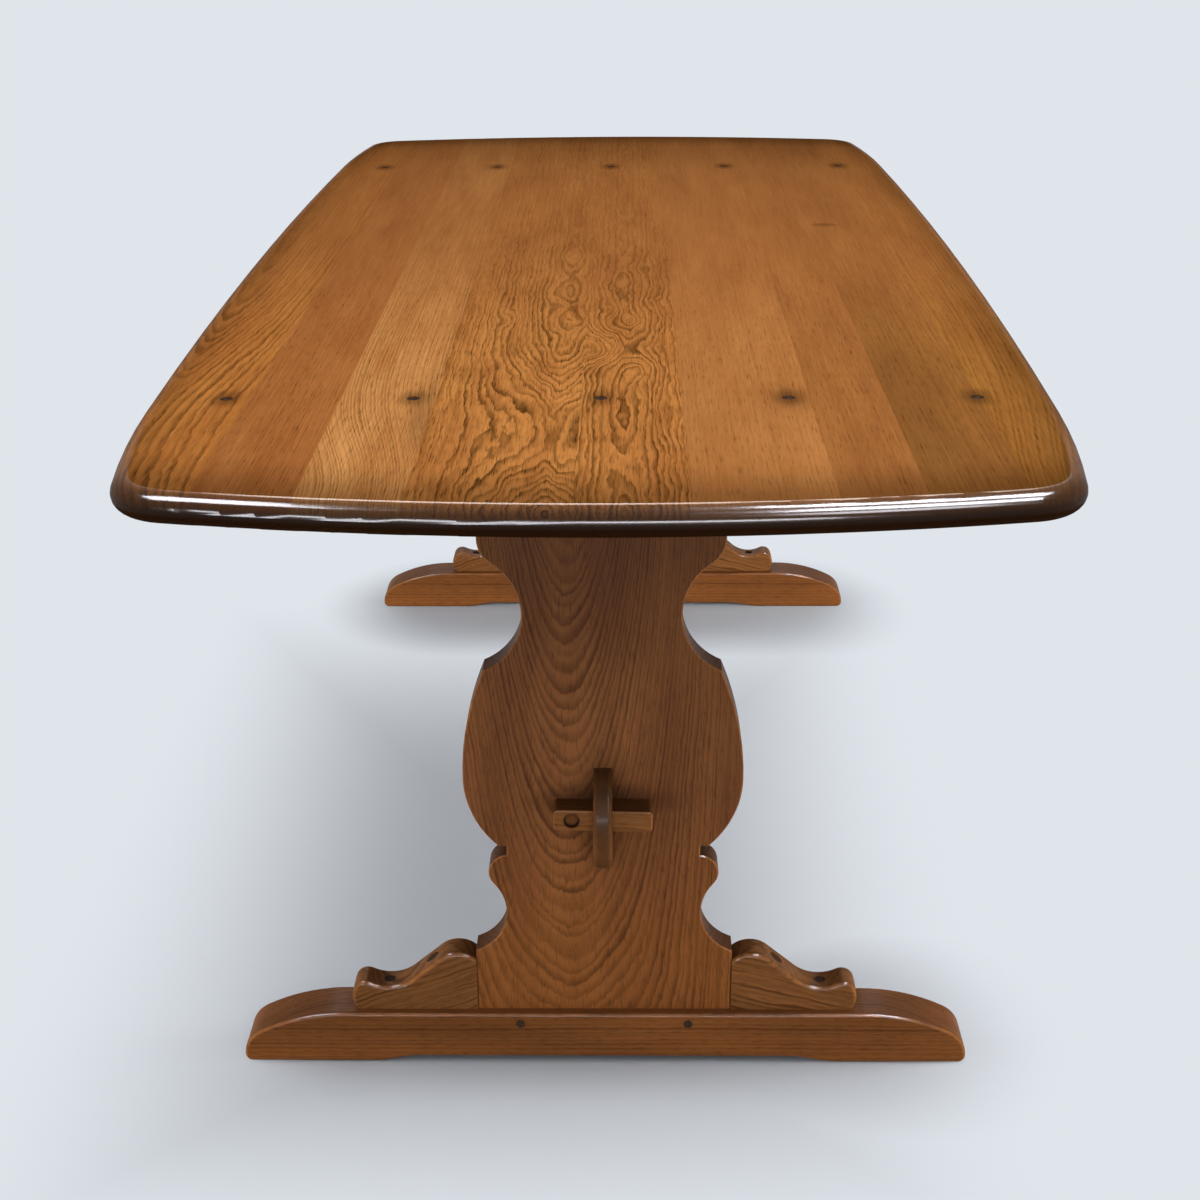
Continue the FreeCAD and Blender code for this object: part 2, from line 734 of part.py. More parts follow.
def make_bearers():
    half, radius = bearer_half, size("bearer_end_radius")
    low, high = bearer_underside, top_underside
    width = size("bearer_width")
    body = new_body("bearer_blank")
    outline = Outline(body, "XZ_Plane", "bearer_outline", (0, low))
    outline.line((half - radius, low))
    outline.arc((half.value - radius.value, low.value + radius.value), radius, (half.value, low + radius),
                ANTICLOCKWISE, smooth=True)
    outline.line((half, high))
    outline.line((0, high))
    outline.line((0, low))
    outline.close()
    mirror(body, [pad(body, outline, width)], "YZ_Plane")

    half_tenon = size("bearer_tenon_width") / 2 + glue_gap
    half_cheek = size("tenon_thickness") / 2 + glue_gap
    depth = size("bearer_tenon_depth") + size("mortise_spare")
    cuts = [box("bearer_mortise", (-half_tenon, -half_cheek, low - margin),
                (half_tenon, half_cheek, low + depth))]
    cuts += peg_holes("bearer_peg_hole", bearer_peg_level, width)
    bite = size("top_screw_bite") + size("mortise_spare")
    for step, x in enumerate(top_plug_places(), start=1):
        cuts.append(rod(f"bearer_screw_hole_{step}", screw_hole_radius, bite + margin, (x, 0, high - bite)))
    tool = group("Part::MultiFuse", "bearer_cuts", cuts)
    links = pegs("bearer_peg", bearer_peg_level, width)
    for end, sign in ENDS:
        put_in_trestle(cut(f"{end}_bearer_cut", body, tool), f"{end}_bearer", sign)
        pair = group("Part::Compound", f"{end}_bearer_peg_pair", links)
        put_in_trestle(pair, f"{end}_bearer_pegs", sign)


def make_brackets():
    """Ogee brackets, drawn from the slab's edge outwards with the foot's top at Z 0."""
    crown, dish = size("crown_radius"), size("dish_radius")
    nose, tip = size("nose_radius"), size("nose_tip_radius")
    crown_centre = (size("crown_reach"), size("crown_height") - crown)
    dish_centre = (size("dish_reach"), size("dish_height") + dish)
    nose_centre = (size("nose_reach") - nose, size("nose_height"))
    centres = (crown_centre, dish_centre, nose_centre)
    crown_at, dish_at, nose_at = [(x.value, z.value) for x, z in centres]
    heel = nose_at[0] + math.sqrt(nose.value ** 2 - nose_at[1] ** 2)
    tip_at = meeting(dish_at, dish.value + tip.value, nose_at, nose.value - tip.value)
    tip_start = beyond(nose_at, tip_at, nose.value)
    tip_end = beyond(dish_at, tip_at, dish.value)
    run, rise = dish_at[0] - crown_at[0], dish_at[1] - crown_at[1]
    lean = math.atan2(rise, run) + math.acos((crown.value + dish.value) / math.hypot(run, rise))
    square = (math.cos(lean), math.sin(lean))
    slope_low = (dish_at[0] - dish.value * square[0], dish_at[1] - dish.value * square[1])
    slope_high = (crown_at[0] + crown.value * square[0], crown_at[1] + crown.value * square[1])
    back = crown_at[1] + math.sqrt(crown.value ** 2 - crown_at[0] ** 2)

    body = new_body("bracket_blank")
    outline = Outline(body, "XZ_Plane", "bracket_outline", (0, 0))
    outline.line((heel, 0))
    outline.arc(nose_centre, nose, tip_start, ANTICLOCKWISE)
    outline.arc(tip_at, tip, tip_end, ANTICLOCKWISE, smooth=True)
    outline.arc(dish_centre, dish, slope_low, CLOCKWISE, smooth=True)
    outline.line(slope_high, smooth=True)
    outline.arc(crown_centre, crown, (0, back), ANTICLOCKWISE, smooth=True)
    outline.line((0, 0))
    outline.close()
    thickness = size("bracket_thickness")
    pad(body, outline, thickness)
    face = thickness.value / 2

    def curved_edge(limits):
        on_face = limits.YLength < SAME_PLACE and abs(abs(limits.YMin) - face) < SAME_PLACE
        return on_face and limits.XLength > SAME_PLACE and limits.ZLength > SAME_PLACE

    round_edges(body, size("bracket_edge_radius"), curved_edge)

    lowered = group("Part::Compound", "lowered_bracket", [body])
    place(lowered, z=-size("plug_sink"))
    holes = []
    screws = []
    plugs = []
    for spot, reach, seat in bracket_plug_places():
        ledge = seat + size("screw_head_height")
        tall = size("crown_height") + margin
        holes.append(rod(f"bracket_{spot}_plug_hole", plug_hole_radius, tall, (reach, 0, seat)))
        holes.append(rod(f"bracket_{spot}_screw_hole", screw_hole_radius, seat + margin * 2,
                         (reach, 0, -margin)))
        screws.append(screw(f"bracket_{spot}_screw", (reach, 0, seat), seat + size("bracket_screw_bite")))
        plug = doc.addObject("Part::Common", f"bracket_{spot}_plug")
        plug.Base = rod(f"bracket_{spot}_plug_stock", plug_hole_radius - glue_gap, tall, (reach, 0, ledge))
        plug.Tool = lowered
        plugs.append(plug)
    tool = group("Part::MultiFuse", "bracket_cuts", holes)

    edge = size("base_width") / 2
    sides = (("left", -1), ("right", 1))
    for end, sign in ENDS:
        for side, hand in sides:
            bracket = keep(cut(f"{end}_{side}_bracket_cut", body, tool), f"{end}_{side}_bracket")
            place(bracket, edge * hand, trestle_y * sign, foot_top,
                  turn=HALF_TURN if hand < 0 else 0.0)
        for name, pieces in (("bracket_screws", screws), ("bracket_plugs", plugs)):
            pairs = []
            for side, hand in sides:
                pair = group("Part::Compound", f"{end}_{side}_{name}", pieces)
                place(pair, x=edge * hand, z=foot_top, turn=HALF_TURN if hand < 0 else 0.0)
                pairs.append(pair)
            both = keep(group("Part::Compound", f"{end}_{name}", pairs), f"{end}_{name}")
            place(both, y=trestle_y * sign)


def tongue_levels():
    middle = stretcher_middle
    half = size("tongue_height") / 2
    return middle - half, middle + half


def key_depth(x):
    """How far the key's outer face stands off the slab at a distance along the key from its middle."""
    taper = (size("key_wide") - size("key_narrow")) / size("key_length")
    return (size("key_wide") + size("key_narrow")) / 2 + taper * x


def key_shape(name, half_length, back, outer_gap, low, high):
    """A wedge in plan, from its back face to its slanted outer face, between two levels."""
    body = new_body(name)
    outline = Outline(body, "XY_Plane", f"{name}_outline", (-half_length, back), level=low)
    outline.line((-half_length, -(slab_face + key_depth(-half_length) + outer_gap)))
    outline.line((half_length, -(slab_face + key_depth(half_length) + outer_gap)))
    outline.line((half_length, back))
    outline.line((-half_length, back))
    outline.close()
    pad(body, outline, high - low, symmetric=False)
    return body


def tongue_blank():
    """One end tongue in the trestle's own frame, its round end clear of the slab's outer face."""
    low, high = tongue_levels()
    half, reach = size("tongue_height") / 2, size("tongue_reach")
    radius = (half * half + reach * reach) / (reach * 2)
    centre = (radius.value - reach.value - slab_face.value, (low.value + high.value) / 2)
    body = new_body("tongue_blank")
    outline = Outline(body, "YZ_Plane", "tongue_end_outline", (-slab_face, high))
    outline.arc(centre, radius, (-slab_face, low), ANTICLOCKWISE)
    outline.line((-slab_face, high))
    outline.close()
    pad(body, outline, size("tongue_thickness"))
    round_edges(body, size("tongue_edge_radius"),
                lambda limits: limits.XLength < SAME_PLACE and limits.YLength > SAME_PLACE)
    bar = rectangle(body, "YZ_Plane", "tongue_bar", (-slab_face, low),
                    (slab_face + size("tongue_root"), high))
    pad(body, bar, size("tongue_thickness"))
    return body


def trestle_copies(name, item):
    """The same piece at both trestles, turned half round at the far one."""
    copies = []
    for end, sign in ENDS:
        copy = group("Part::Compound", f"{end}_{name}", [item])
        place(copy, y=trestle_y * sign, turn=HALF_TURN if sign > 0 else 0.0)
        copies.append(copy)
    return copies


def make_stretcher():
    """A board on edge between the slabs, with a tongue through each and a slot for its key."""
    middle = stretcher_middle
    half_height = size("stretcher_height") / 2
    half_length = trestle_y - slab_face
    body = new_body("stretcher_blank")
    board = rectangle(body, "YZ_Plane", "stretcher_outline", (-half_length, middle - half_height),
                      (half_length, middle + half_height))
    pad(body, board, size("stretcher_thickness"))
    whole = group("Part::MultiFuse", "tongued_stretcher", [body] + trestle_copies("tongue", tongue_blank()))

    key_middle = stretcher_middle + size("key_rise")
    half_key = size("key_height") / 2 + running_gap
    slot = key_shape("key_slot", size("tongue_thickness") / 2 + margin, size("key_draw") - slab_face,
                     running_gap, key_middle - half_key, key_middle + half_key)
    slots = group("Part::MultiFuse", "key_slots", trestle_copies("key_slot", slot))
    keep(cut("slotted_stretcher", whole, slots), "stretcher")


def make_keys():
    """Cross keys that lie against the outer face of each slab, with a peg in each key's outer face."""
    middle = stretcher_middle + size("key_rise")
    half_height = size("key_height") / 2
    back = -(slab_face + glue_gap)
    body = key_shape("key_blank", size("key_length") / 2, back, 0,
                     middle - half_height, middle + half_height)
    round_edges(body, size("key_corner_radius"),
                lambda limits: limits.XLength < SAME_PLACE and limits.ZLength < SAME_PLACE)
    round_edges(body, size("key_edge_radius"), lambda limits: limits.XLength > SAME_PLACE)

    x = -size("key_peg_reach")
    face = slab_face + key_depth(x)
    bed = slab_face + size("key_peg_cover")
    radius, dome = size("key_peg_diameter") / 2, size("key_peg_dome")
    length = face - size("key_peg_sink") - bed
    holes = [rod("key_peg_hole", radius + glue_gap, face - bed + margin, (x, -bed, middle), sideways=True),
             rod("key_recess", size("key_recess_diameter") / 2, size("key_recess_depth") + margin,
                 (x, size("key_recess_depth") - face, middle), sideways=True)]
    tool = group("Part::MultiFuse", "key_cuts", holes)

    peg = new_body("key_peg")
    bow = (radius * radius + dome * dome) / (dome * 2)
    outline = Outline(peg, "XZ_Plane", "key_peg_outline", (0, 0))
    outline.line((radius, 0))
    outline.line((radius, length - dome))
    outline.arc((0, length.value - bow.value), bow.value, (0, length), ANTICLOCKWISE)
    outline.line((0, 0))
    outline.close()
    turning = peg.newObject("PartDesign::Revolution", "key_peg_turning")
    turning.Profile = outline.sketch
    turning.ReferenceAxis = (outline.sketch, ["V_Axis"])
    peg.Tip = turning
    place(peg, x, -bed, middle, turn=QUARTER_TURN, axis=ACROSS)
    for end, sign in ENDS:
        put_in_trestle(cut(f"{end}_key_cut", body, tool), f"{end}_key", sign)
        put_in_trestle(group("Part::Compound", f"{end}_key_peg_copy", [peg]), f"{end}_key_peg", sign)


make_top()
make_top_fixings()
make_feet()
make_slab_ends()
make_bearers()
make_brackets()
make_stretcher()
make_keys()
doc.recompute()

for item in doc.Objects:
    if "Invalid" in item.State or "Error" in item.State:
        raise RuntimeError(f"{item.Label} did not compute")
for node in nodes:
    if node.Shape.isNull() or not node.Shape.isValid() or not node.Shape.Solids:
        raise RuntimeError(f"{node.Label} has no sound solid")

os.makedirs("parts", exist_ok=True)
for node in nodes:
    node.Shape.exportStep(f"parts/{node.Label}.step")
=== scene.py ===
import math

import bpy
from mathutils import Matrix, Vector


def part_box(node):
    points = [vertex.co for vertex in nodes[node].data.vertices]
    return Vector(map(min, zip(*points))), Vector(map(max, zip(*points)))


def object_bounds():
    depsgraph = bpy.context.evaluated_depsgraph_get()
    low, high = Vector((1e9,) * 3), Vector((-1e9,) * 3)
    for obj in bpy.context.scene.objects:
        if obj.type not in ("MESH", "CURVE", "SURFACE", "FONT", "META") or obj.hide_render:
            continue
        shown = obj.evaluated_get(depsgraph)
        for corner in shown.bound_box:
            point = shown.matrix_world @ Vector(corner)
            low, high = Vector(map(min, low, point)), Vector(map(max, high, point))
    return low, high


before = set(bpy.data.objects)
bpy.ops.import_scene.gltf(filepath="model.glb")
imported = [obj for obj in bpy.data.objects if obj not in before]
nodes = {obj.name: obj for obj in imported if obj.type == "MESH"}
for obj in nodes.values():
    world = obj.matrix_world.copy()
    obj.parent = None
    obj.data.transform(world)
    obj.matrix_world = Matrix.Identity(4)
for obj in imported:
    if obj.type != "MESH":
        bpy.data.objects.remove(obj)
cad_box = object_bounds()
scene = bpy.context.scene

MM = 0.001
PER_MM = 1 / MM


def middle_in_mm(node):
    """Middle of a node's box at rest, in millimetres."""
    lowest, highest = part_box(node)
    return (lowest + highest) / 2 * PER_MM


def size_in_mm(node):
    """Size of a node's box at rest, in millimetres."""
    lowest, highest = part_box(node)
    return (highest - lowest) * PER_MM


# Sizes in millimetres that the frame gives. A row of plugs is as deep as one plug is wide.
TOP_HALF_WIDTH, TOP_HALF_LENGTH, TOP_LEVEL = cad_box[1] * PER_MM
PLUGS_IN_ROW = 5
PLUG_ROW = middle_in_mm("far_top_plugs").y
PLUG_PITCH = (size_in_mm("far_top_plugs").x - size_in_mm("far_top_plugs").y) / (PLUGS_IN_ROW - 1)

# Outline of the top in millimetres, as its boards are cut
SIDE_BOW_RADIUS = 18000.0
SHOULDER_START = 646.0
SHOULDER_RADIUS = 1645.0
END_BOW_RADIUS = 1840.0
RIM_RADIUS = 13.8
CORNER_BLEND = 60.0


def linear(hex_colour):
    """An sRGB hex colour as the linear colour that a socket takes."""
    parts = [int(hex_colour[i:i + 2], 16) / 255 for i in (1, 3, 5)]
    return [p / 12.92 if p <= 0.04045 else ((p + 0.055) / 1.055) ** 2.4 for p in parts] + [1.0]


def add(tree, kind, inputs=(), out=0, **settings):
    """Adds a node with its settings, sets or links its inputs by number or name, and returns an output."""
    made = tree.nodes.new("ShaderNode" + kind)
    for name, value in settings.items():
        setattr(made, name, value)
    pairs = inputs.items() if isinstance(inputs, dict) else enumerate(inputs)
    for key, value in pairs:
        if isinstance(value, bpy.types.NodeSocket):
            tree.links.new(value, made.inputs[key])
        else:
            made.inputs[key].default_value = value
    return made.outputs[out] if made.outputs else made


# A MapRange node takes a value, where its range starts and ends, and what it gives there, if not 0 and 1.
# The ranges named below are in that order. A smooth one eases in and out.
SMOOTH = {"interpolation_type": "SMOOTHSTEP"}

# Colour sockets of a Mix node, by number, because other sockets of it have the same names
MIX_SHARE = 0
MIX_UNDER = 6
MIX_OVER = 7
MIX_RESULT = 2


def new_material(name):
    """A new material and its node tree, still empty."""
    made = bpy.data.materials.new(name)
    made.use_nodes = True
    made.node_tree.nodes.clear()
    return made, made.node_tree


def dress(node, material):
    """Gives a node of the frame its finish."""
    nodes[node].material_slots[0].material = material


def place_in_mm(tree):
    """Object coordinates in millimetres."""
    metres = add(tree, "TexCoord", out="Object")
    return add(tree, "VectorMath", {0: metres, "Scale": PER_MM}, operation="SCALE")


def layered(tree, colour, *layers):
    """Colour with layers laid over it in turn, each the share of it that shows and its own colour."""
    for share, over in layers:
        inputs = {MIX_SHARE: share, MIX_UNDER: colour, MIX_OVER: over}
        colour = add(tree, "Mix", inputs, out=MIX_RESULT, data_type="RGBA")
    return colour


# A dark spot, a stain or painted shade, fades out between these shares of its reach
SPOT_FADES = (0.3, 1.6)


def stained_and_shaded(tree, place, colour, spots):
    """Colour darkened by soft spots, stains or painted shade, each (centre, reach, share); a reach of
    infinity means all along.
    """
    for centre, reach, share in spots:
        offset = add(tree, "VectorMath", [place, centre], operation="SUBTRACT")
        scaled = add(tree, "VectorMath", [offset, [1 / length for length in reach]], operation="MULTIPLY")
        spread = add(tree, "VectorMath", [scaled], out="Value", operation="LENGTH")
        dark_spot = add(tree, "MapRange", [spread, *SPOT_FADES, share, 0.0], **SMOOTH)
        colour = layered(tree, colour, (dark_spot, linear("#2a180b")))
    return colour


def grain_noise(tree, place, size, detail, roughness=0.5):
    """Noise in blotches of size millimetres, across and along the grain, which runs along Y of place."""
    across, along = size
    drawn = add(tree, "VectorMath", [place, (1 / across, 1 / along, 1 / across)], operation="MULTIPLY")
    return add(tree, "TexNoise", {"Vector": drawn, "Scale": 1.0, "Detail": detail, "Roughness": roughness})


def mound(tree, squared):
    """A soft mound: 1 in its middle, falling away with the square of the distance."""
    fading = add(tree, "Math", [squared, -1.0], operation="MULTIPLY")
    return add(tree, "Math", [fading], operation="EXPONENT")


def pushed_aside(tree, place, shift, knots):
    """Shift of the rings with the mound of each knot added: (x, y, half width, half length, rings)."""
    for x, y, half_width, half_length, rings in knots:
        offset = add(tree, "VectorMath", [place, (x, y, 0)], operation="SUBTRACT")
        slope = (1 / half_width, 1 / half_length, 0)
        scaled = add(tree, "VectorMath", [offset, slope], operation="MULTIPLY")
        squared = add(tree, "VectorMath", [scaled, scaled], out="Value", operation="DOT_PRODUCT")
        shift = add(tree, "Math", [mound(tree, squared), rings, shift], operation="MULTIPLY_ADD")
    return shift


# How ragged the ring lines are, over how many millimetres, and how uneven the years are, in rings
RAGGED_SIZE = (5.0, 22.0)
RAGGED_RINGS = 0.5
UNEVEN_PER_YEAR = 0.35
UNEVEN_RINGS = 1.8


def ring_count(tree, place, pith, depth, ring, waver, waver_size, arches=None, knots=()):
    """How many growth rings lie between the pith and each point of a board, in millimetres.

    The pith runs along Y of place at X pith, depth below Z 0. Rings are ring apart and waver by so many
    rings over waver_size, across and along the grain. With arches, a pair of lean and reach, the rings
    lean by that much within that reach of the pith, so that they cross the middle of the board as
    arches. Each of the knots pushes them aside.
    """
    noise = grain_noise(tree, place, waver_size, detail=2.0)
    shift = add(tree, "Math", [noise, 2 * waver, -waver], operation="MULTIPLY_ADD")
    ragged = grain_noise(tree, place, RAGGED_SIZE, detail=1.0)
    shift = add(tree, "Math", [ragged, RAGGED_RINGS, shift], operation="MULTIPLY_ADD")
    shift = pushed_aside(tree, place, shift, knots)
    from_pith = add(tree, "VectorMath", [place, (pith, 0, -depth)], operation="SUBTRACT")
    x, y, z = add(tree, "SeparateXYZ", [from_pith]).node.outputs
    if arches:
        lean, reach = arches
        aside = add(tree, "Math", [x, 1 / reach], operation="MULTIPLY")
        squared = add(tree, "Math", [aside, aside], operation="MULTIPLY")
        arch = add(tree, "Math", [mound(tree, squared), y], operation="MULTIPLY")
        shift = add(tree, "Math", [arch, -lean / ring, shift], operation="MULTIPLY_ADD")
    section = add(tree, "CombineXYZ", [x, 0.0, z])
    radius = add(tree, "VectorMath", [section], out="Value", operation="LENGTH")
    count = add(tree, "Math", [radius, 1 / ring, shift], operation="MULTIPLY_ADD")
    slow = add(tree, "Math", [count, UNEVEN_PER_YEAR], operation="MULTIPLY")
    uneven = add(tree, "TexNoise", {"W": slow, "Scale": 1.0, "Detail": 1.0}, noise_dimensions="1D")
    return add(tree, "Math", [uneven, UNEVEN_RINGS, count], operation="MULTIPLY_ADD")


# A year's wood darkens slowly to its line and then falls off. Lines differ by year and by place.
DARKENS = (0.15, 0.84)
FALLS_OFF = (0.84, 1.0, 1.0, 0.0)
LINE_BY_YEAR = (0.0, 1.0, 0.35, 1.0)
LINE_BY_PLACE = (0.35, 0.6, 0.6, 1.0)
FAINT_SIZE = (26.0, 90.0)


def ring_lines(tree, place, figure):
    """How dark the growth rings are, from 0 to 1, where a board with this figure cuts them."""
    count = ring_count(tree, place, **figure)
    phase = add(tree, "Math", [count], operation="FRACT")
    year = add(tree, "Math", [count], operation="FLOOR")
    rise = add(tree, "MapRange", [phase, *DARKENS], **SMOOTH)
    fall = add(tree, "MapRange", [phase, *FALLS_OFF], **SMOOTH)
    line = add(tree, "Math", [rise, fall], operation="MULTIPLY")
    chance = add(tree, "TexWhiteNoise", {"W": year}, noise_dimensions="1D")
    faint = grain_noise(tree, place, FAINT_SIZE, detail=1.0)
    for value, limits in ((chance, LINE_BY_YEAR), (faint, LINE_BY_PLACE)):
        strength = add(tree, "MapRange", [value, *limits])
        line = add(tree, "Math", [line, strength], operation="MULTIPLY")
    return line


# How high noise has to rise to open a pore
OPEN_PORES = (0.5, 0.72)


def elm_pores(tree, place, size):
    """Open pores: short dark flecks drawn out along the grain."""
    noise = grain_noise(tree, place, size, detail=1.5, roughness=0.6)
    return add(tree, "MapRange", [noise, *OPEN_PORES], **SMOOTH)


PORE_DEPTH = 0.12 * MM
PORE_DULLNESS = 0.12
LINE_DEPTH_SHARE = 0.5
BUMP_STRENGTH = 0.3
VARNISH_ROUGHNESS = 0.4
GLOSS_ROUGHNESS = 0.15


def finish_wood(material, tree, colour, lines, pores, roughness, specular, **sockets):
    """Varnish over the figure: pores and ring lines sink a little, and pores are duller."""
    rough = add(tree, "Math", [pores, PORE_DULLNESS, roughness], operation="MULTIPLY_ADD")
    sunk = add(tree, "Math", [lines, LINE_DEPTH_SHARE, pores], operation="MULTIPLY_ADD")
    relief = {"Strength": BUMP_STRENGTH, "Distance": PORE_DEPTH, "Height": sunk}
    bump = add(tree, "Bump", relief, invert=True)
    shader = add(tree, "BsdfPrincipled", {"Base Color": colour, "Roughness": rough, "Normal": bump,
                                          "Specular IOR Level": specular, **sockets})
    add(tree, "OutputMaterial", {"Surface": shader})
    return material


def top_edge_distances(tree, place):
    """How far a point of the top lies in from its sides, its ends and its whole edge, in millimetres.

    A bowed edge falls away by half the square of the distance along it over its radius.
    """
    parts = add(tree, "SeparateXYZ", [place]).node.outputs
    x = add(tree, "Math", [parts[0]], operation="ABSOLUTE")
    y = add(tree, "Math", [parts[1]], operation="ABSOLUTE")
    past = add(tree, "Math", [y, SHOULDER_START], operation="SUBTRACT")
    past = add(tree, "Math", [past, 0.0], operation="MAXIMUM")
    past = add(tree, "Math", [past, past], operation="MULTIPLY")
    y_squared = add(tree, "Math", [y, y], operation="MULTIPLY")
    x_squared = add(tree, "Math", [x, x], operation="MULTIPLY")
    side = add(tree, "Math", [y_squared, -0.5 / SIDE_BOW_RADIUS, TOP_HALF_WIDTH], operation="MULTIPLY_ADD")
    side = add(tree, "Math", [past, -0.5 / SHOULDER_RADIUS, side], operation="MULTIPLY_ADD")
    side = add(tree, "Math", [side, x], operation="SUBTRACT")
    end = add(tree, "Math", [x_squared, -0.5 / END_BOW_RADIUS, TOP_HALF_LENGTH], operation="MULTIPLY_ADD")
    end = add(tree, "Math", [end, y], operation="SUBTRACT")
    edge = add(tree, "Math", [side, end, CORNER_BLEND], operation="SMOOTH_MIN")
    return side, end, edge


# Patterns of a board in millimetres, across and along the grain. Pores are drawn several times as wide as
# real ones, here and on the trestles, because finer ones don't show.
BOARD_PORE = (1.2, 28.0)
BOARD_TONE = (45.0, 320.0)
BOARD_FIBRE = (3.0, 110.0)
BOARD_CLOUD = (28.0, 80.0)
# Ranges of noise that spread the tone and give the clouds an edge, and how much more pores show on a line
TONE_SPREAD = (0.7, 1.3)
CLOUD_EDGE = (0.4, 0.75)
FLECK_ON_LINES = 0.6

# Ranges in millimetres. Along the table from its middle: the boards grow alike, their figure fades out,
# and painted shade darkens the far end, where the light falls off.
BOARDS_ALIKE = (-560.0, 60.0, 0.0, 0.75)
FIGURE_FADES = (-560.0, 300.0, 1.0, 0.3)
FAR_END_PAINTED_SHADE = (540.0, 860.0, 0.0, 0.3)
# In from the sides, the ends and the edge, where the spray was darker, and from the top's level, for
# painted shade under the rim
SIDE_SHADE = (8.0, 50.0, 0.35, 0.0)
END_SHADE = (10.0, 115.0, 0.5, 0.0)
RIM_SHADE = (0.0, RIM_RADIUS, 0.75, 0.0)
UNDER_RIM_PAINTED_SHADE = (-15.0, -7.0, 0.94, 0.0)
# The same ways: where the rim is polished
RIM_GLOSS = (RIM_RADIUS - 1, RIM_RADIUS, 1.0, 0.0)
END_GLOSS = (60.0, 200.0, 0.25, 0.08)
UPPER_GLOSS = (-19.0, -15.0, 0.1, 1.0)


def rim_gloss(tree, end, edge, below):
    """Weight of the polish on the rim, most at the ends of the table and on the rim's upper half."""
    gloss = add(tree, "MapRange", [edge, *RIM_GLOSS])
    for distance, limits in ((end, END_GLOSS), (below, UPPER_GLOSS)):
        part = add(tree, "MapRange", [distance, *limits])
        gloss = add(tree, "Math", [gloss, part], operation="MULTIPLY")
    return gloss


# Varnished elm, golden brown: open-pored rings show as dark lines, and the finish was sprayed darker
# towards the rim. Painted shade darkens the rim's underside and the far end, so the eye sees a warm
# middle and an almost black edge.
def varnished_elm_board(name, plug_stains, light, brown, line, figure, contrast, fleck, cloud=0.1,
                        stains=()):
    material, tree = new_material(name)
    place = place_in_mm(tree)
    on_top = add(tree, "VectorMath", [place, (0, 0, TOP_LEVEL)], operation="SUBTRACT")
    _, along, below = add(tree, "SeparateXYZ", [on_top]).node.outputs
    broad = grain_noise(tree, on_top, BOARD_TONE, detail=3.0)
    fibre = grain_noise(tree, on_top, BOARD_FIBRE, detail=3.0, roughness=0.65)
    tone = add(tree, "Math", [broad, fibre], operation="ADD")
    tone = add(tree, "MapRange", [tone, *TONE_SPREAD])
    alike = add(tree, "MapRange", [along, *BOARDS_ALIKE], **SMOOTH)
    plain = layered(tree, linear("#ad6f3b"), (tone, linear("#965c31")))
    colour = layered(tree, linear(light), (tone, linear(brown)), (alike, plain))

    bold = add(tree, "MapRange", [along, *FIGURE_FADES], **SMOOTH)
    patch = grain_noise(tree, on_top, BOARD_CLOUD, detail=2.0)
    patch = add(tree, "MapRange", [patch, *CLOUD_EDGE, 0.0, cloud], **SMOOTH)
    patch = add(tree, "Math", [patch, bold], operation="MULTIPLY")
    lines = ring_lines(tree, on_top, figure)
    lines = add(tree, "Math", [lines, bold], operation="MULTIPLY")
    drawn = add(tree, "Math", [lines, contrast], operation="MULTIPLY")
    pores = elm_pores(tree, on_top, BOARD_PORE)
    flecks = add(tree, "Math", [lines, FLECK_ON_LINES, fleck], operation="MULTIPLY_ADD")
    flecks = add(tree, "Math", [flecks, bold], operation="MULTIPLY")
    flecks = add(tree, "Math", [flecks, pores], operation="MULTIPLY")
    colour = layered(tree, colour, (patch, linear("#6f3d17")), (drawn, linear(line)),
                     (flecks, linear("#452710")))

    side, end, edge = top_edge_distances(tree, place)
    # Darker spray towards the sides, ends and rim; painted shade at the far end and under the rim
    for distance, limits in ((side, SIDE_SHADE), (end, END_SHADE), (along, FAR_END_PAINTED_SHADE),
                             (edge, RIM_SHADE), (below, UNDER_RIM_PAINTED_SHADE)):
        sprayed_or_shaded = add(tree, "MapRange", [distance, *limits], **SMOOTH)
        colour = layered(tree, colour, (sprayed_or_shaded, linear("#241104")))
    colour = stained_and_shaded(tree, place, colour, [*stains, *plug_stains])
    gloss = rim_gloss(tree, end, edge, below)
    return finish_wood(material, tree, colour, lines, pores, VARNISH_ROUGHNESS, specular=0.0,
                       **{"Coat Weight": gloss, "Coat Roughness": GLOSS_ROUGHNESS})


